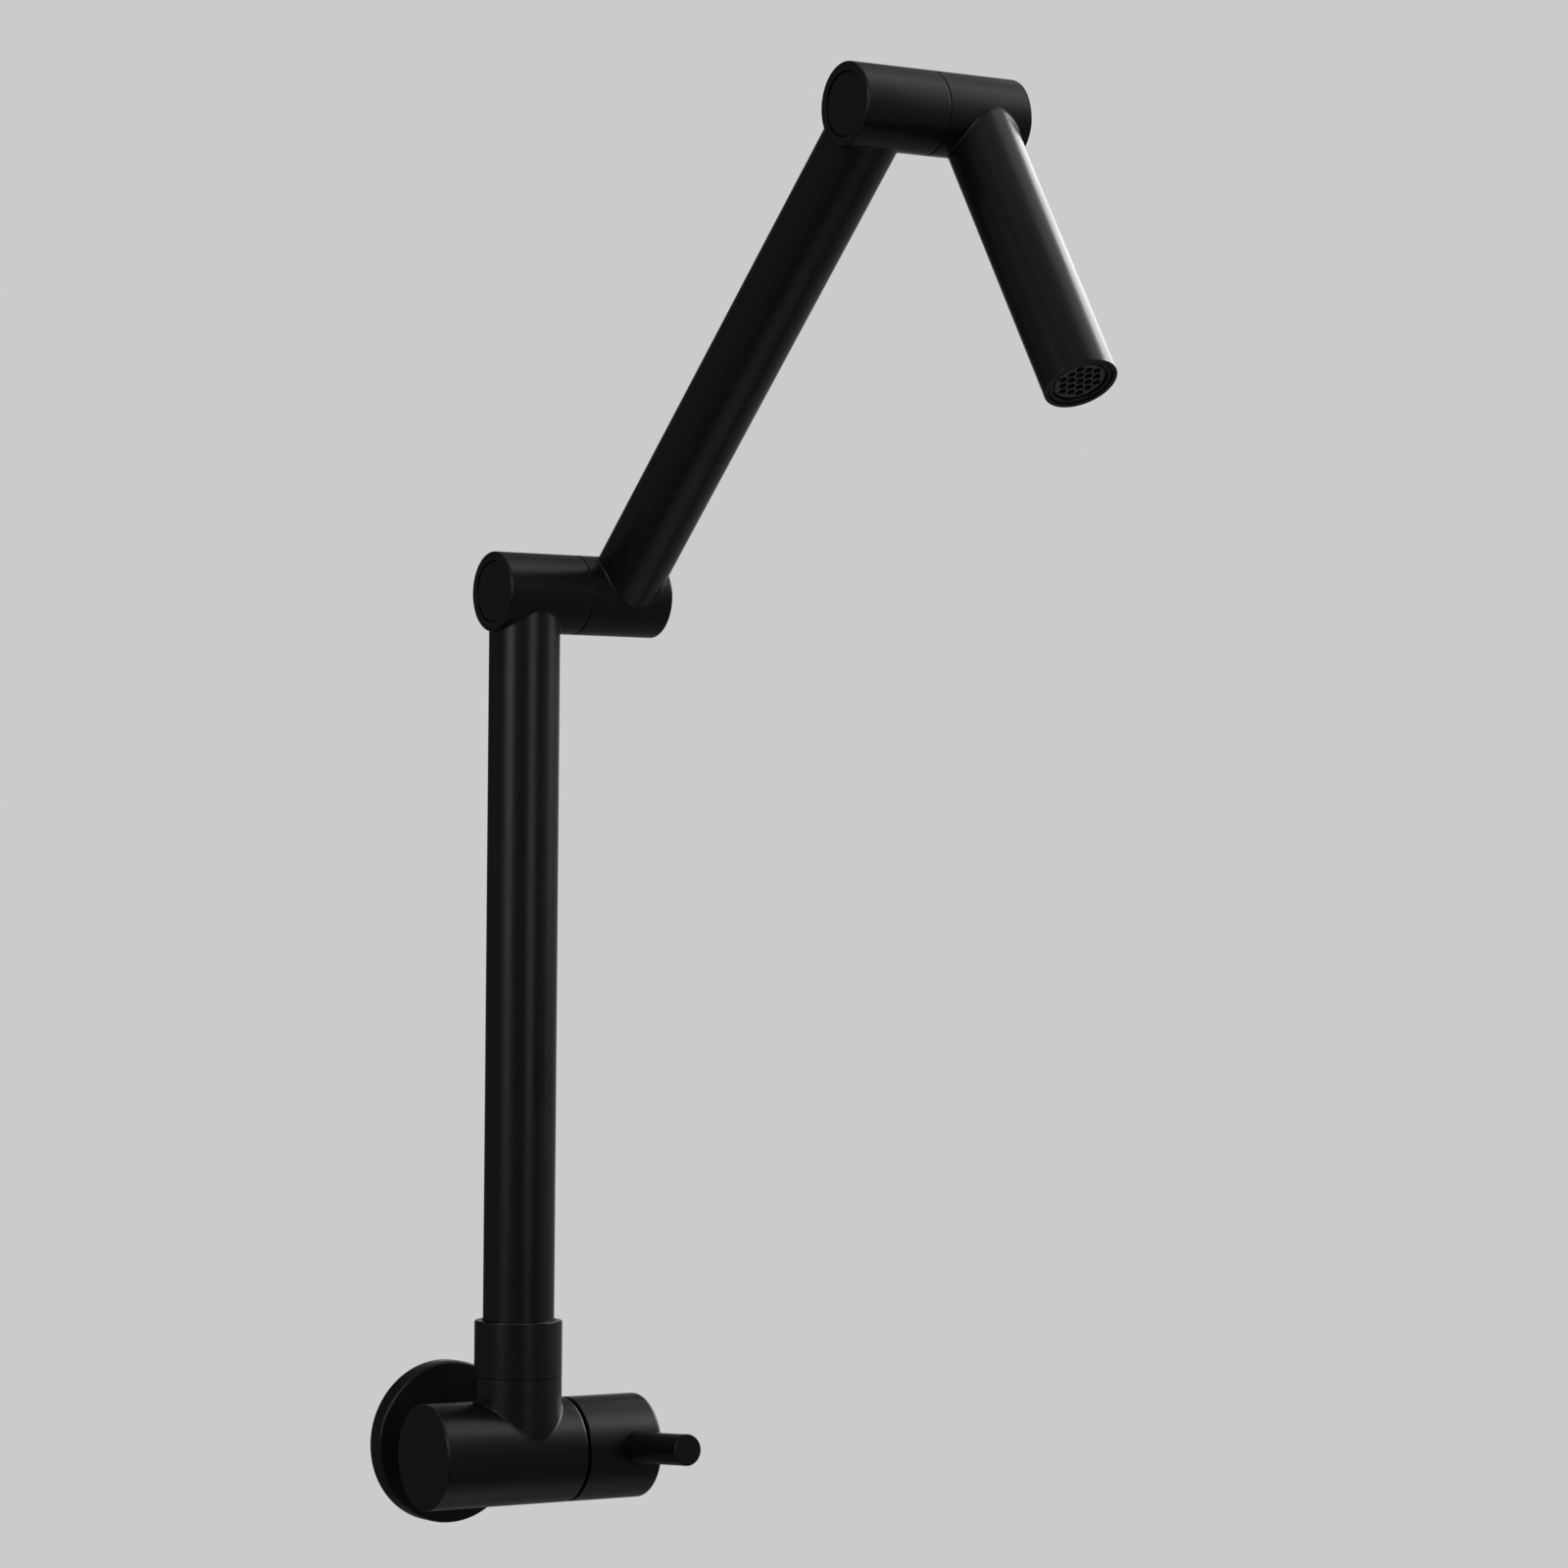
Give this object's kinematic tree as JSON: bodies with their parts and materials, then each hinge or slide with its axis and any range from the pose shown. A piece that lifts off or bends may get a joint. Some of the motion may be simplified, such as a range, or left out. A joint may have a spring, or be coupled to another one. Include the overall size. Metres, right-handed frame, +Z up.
{
  "type": "wall-mounted kitchen faucet",
  "caption": "Wall-mounted kitchen tap: quarter-turn lever valve on a round flange, swivelling riser, folding arm on barrel elbows and a short spout with aerator.",
  "frame": {"origin": "centre of the wall flange on the wall plane, on the axis of the inlet thread", "axes": "+X right along the wall, +Y into the wall along the inlet thread, +Z up along the riser"},
  "size_m": [0.1269, 0.2987, 0.4979],
  "materials": {
    "matte_black": "satin matte black coating",
    "brass": "machined",
    "steel": "plain",
    "rubber": "matte",
    "ceramic": "ground ceramic",
    "slip_plastic": "moulded",
    "black_plastic": "moulded"
  },
  "bodies": {
    "valve_base": {"wall_flange": "matte_black", "flange_gasket": "rubber", "flange_grip_ring": "rubber", "inlet_nipple": "brass", "inlet_washer": "rubber", "inlet_strainer": "steel", "valve_body": "matte_black", "cartridge_housing": "brass", "housing_seal": "rubber", "cartridge_seat_seal": "rubber", "ceramic_fixed_disc": "ceramic", "stem_washer": "slip_plastic", "riser_collar": "matte_black", "riser_guide_ring": "black_plastic", "riser_thrust_washer": "slip_plastic"},
    "handle": {"ceramic_turning_disc": "ceramic", "cartridge_stem": "brass", "stem_seals": "rubber", "stem_clip": "steel", "handle_hub": "matte_black", "lever_pin": "matte_black", "handle_grub_screw": "steel"},
    "riser": {"riser_spigot": "brass", "spigot_seals": "rubber", "riser_tube": "matte_black", "riser_barrel": "matte_black", "elbow_cap": "matte_black", "elbow_seam_washer": "black_plastic", "elbow_slide_washer": "slip_plastic"},
    "arm": {"elbow_spindle": "brass", "elbow_seals": "rubber", "elbow_disc_spring": "steel", "elbow_lock_nut": "brass", "arm_lower_barrel": "matte_black", "arm_tube": "matte_black", "arm_upper_barrel": "matte_black", "top_cap": "matte_black", "top_seam_washer": "black_plastic", "top_slide_washer": "slip_plastic"},
    "spout": {"top_spindle": "brass", "top_seals": "rubber", "top_disc_spring": "steel", "top_lock_nut": "brass", "spout_barrel": "matte_black", "spout_tube": "matte_black", "spout_sleeve": "brass", "aerator_washer": "rubber", "aerator_housing": "matte_black", "aerator_insert": "black_plastic"}
  },
  "joints": [
    {"name": "handle_turn", "type": "hinge", "parent": "valve_base", "child": "handle", "pos_m": [0.0243, -0.0463, 0], "axis": [1, 0, 0], "range_deg": [0, 90]},
    {"name": "riser_swivel", "type": "hinge", "parent": "valve_base", "child": "riser", "pos_m": [0.0035, -0.0485, 0], "axis": [0, 0, 1], "range_deg": [-90, 45]},
    {"name": "elbow_hinge", "type": "hinge", "parent": "riser", "child": "arm", "pos_m": [0.0035, -0.0485, 0.3015], "axis": [1, 0, 0], "range_deg": [-46.8, 133.2]},
    {"name": "spout_hinge", "type": "hinge", "parent": "arm", "child": "spout", "pos_m": [0.04145, -0.21193, 0.45498], "axis": [1, 0, 0], "range_deg": [-99.9, 80.1]}
  ]
}
